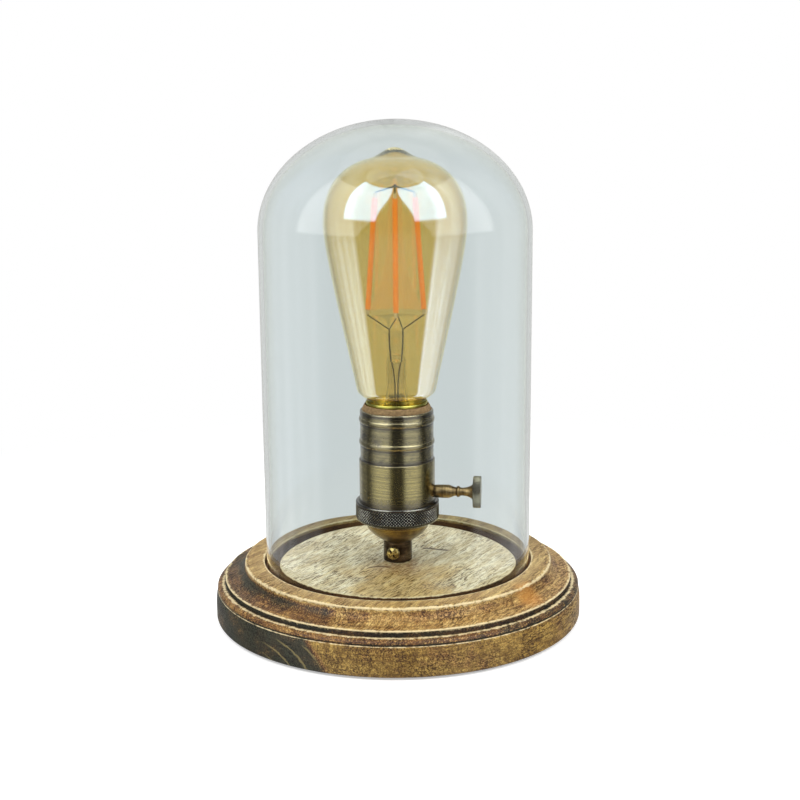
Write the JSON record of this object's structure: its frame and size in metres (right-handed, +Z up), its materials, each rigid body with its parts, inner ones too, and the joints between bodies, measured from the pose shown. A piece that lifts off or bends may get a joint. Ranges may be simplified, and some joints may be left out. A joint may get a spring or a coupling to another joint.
{
  "type": "table lamp",
  "caption": "Table lamp with a bare amber filament bulb in an aged brass lampholder on a turned, scorched wooden base, under a clear glass cloche, with a turn knob switch.",
  "frame": {"origin": "centre of the felt pad's underside, on the table", "axes": "+Z up along the lamp's axis, +X along the switch knob, -Y the front, +Y the back with the cord outlet"},
  "size_m": [0.1686, 0.1685, 0.2254],
  "materials": {
    "wood": "turned, scorched and brushed, satin",
    "felt": "short dense felt",
    "bushing_plastic": "matt black",
    "zinc_steel": "zinc plated",
    "nipple_brass": "machined",
    "aged_brass": "brushed and aged",
    "dark_brass": "blackened, with bright knurl tops",
    "bronze": "dark, aged",
    "screw_brass": "bright",
    "knob_brass": "aged, knurled rim",
    "fibre": "pressed fibre",
    "porcelain": "unglazed",
    "contact_brass": "bright sheet",
    "cam_plastic": "moulded",
    "clear_glass": "clear, polished",
    "amber_glass": "clear amber, polished",
    "cap_brass": "rolled sheet",
    "black_glass": "black, glossy",
    "solder": "dull solder",
    "stem_glass": "clear",
    "lead_wire": "bare wire",
    "filament": "translucent coated rod",
    "board": "circuit board"
  },
  "bodies": {
    "base": {"wooden_base": "wood", "felt_pad": "felt", "cord_bushing": "bushing_plastic", "threaded_nipple": "nipple_brass", "nipple_washer": "zinc_steel", "nipple_nut": "zinc_steel", "holder_collar": "bronze", "collar_screw": "screw_brass", "holder_cap": "aged_brass", "knurled_ring": "dark_brass", "holder_body": "aged_brass", "holder_sleeve": "aged_brass", "fibre_liner": "fibre", "socket_core": "porcelain", "screw_shell": "contact_brass", "core_screws": "zinc_steel", "centre_contact": "contact_brass", "shell_strap": "contact_brass", "switch_spring": "contact_brass", "terminal_screws": "zinc_steel", "switch_bushing": "aged_brass"},
    "switch_knob": {"switch_shaft": "zinc_steel", "switch_rotor": "cam_plastic", "knob_stem": "bronze", "knob_disc": "knob_brass"},
    "cloche": {"glass_cloche": "clear_glass"},
    "bulb_contact": {"bulb_tip": "solder"},
    "bulb": {"bulb_glass": "amber_glass", "bulb_cap": "cap_brass", "bulb_insulator": "black_glass", "bulb_stem": "stem_glass", "bulb_leads": "lead_wire", "bulb_filaments": "filament", "filament_clips": "lead_wire", "bulb_top_wires": "lead_wire", "bulb_driver": "board"}
  },
  "joints": [
    {"name": "cloche_lift", "type": "slide", "parent": "base", "child": "cloche", "axis": [0, 0, 1], "range_m": [0, 0.21]},
    {"name": "switch_turn", "type": "hinge", "parent": "base", "child": "switch_knob", "pos_m": [0, 0, 0.0577], "axis": [1, 0, 0], "continuous": true},
    {"name": "bulb_rise", "type": "slide", "parent": "base", "child": "bulb_contact", "axis": [0, 0, 1], "range_m": [0, 0.0073]},
    {"name": "bulb_unscrew", "type": "hinge", "parent": "bulb_contact", "child": "bulb", "pos_m": [0, 0, 0.1], "axis": [0, 0, 1], "range_deg": [0, 720]}
  ],
  "couplings": [
    {"joint": "bulb_rise", "follows": "bulb_unscrew", "m_per_rad": 0.00057773}
  ]
}
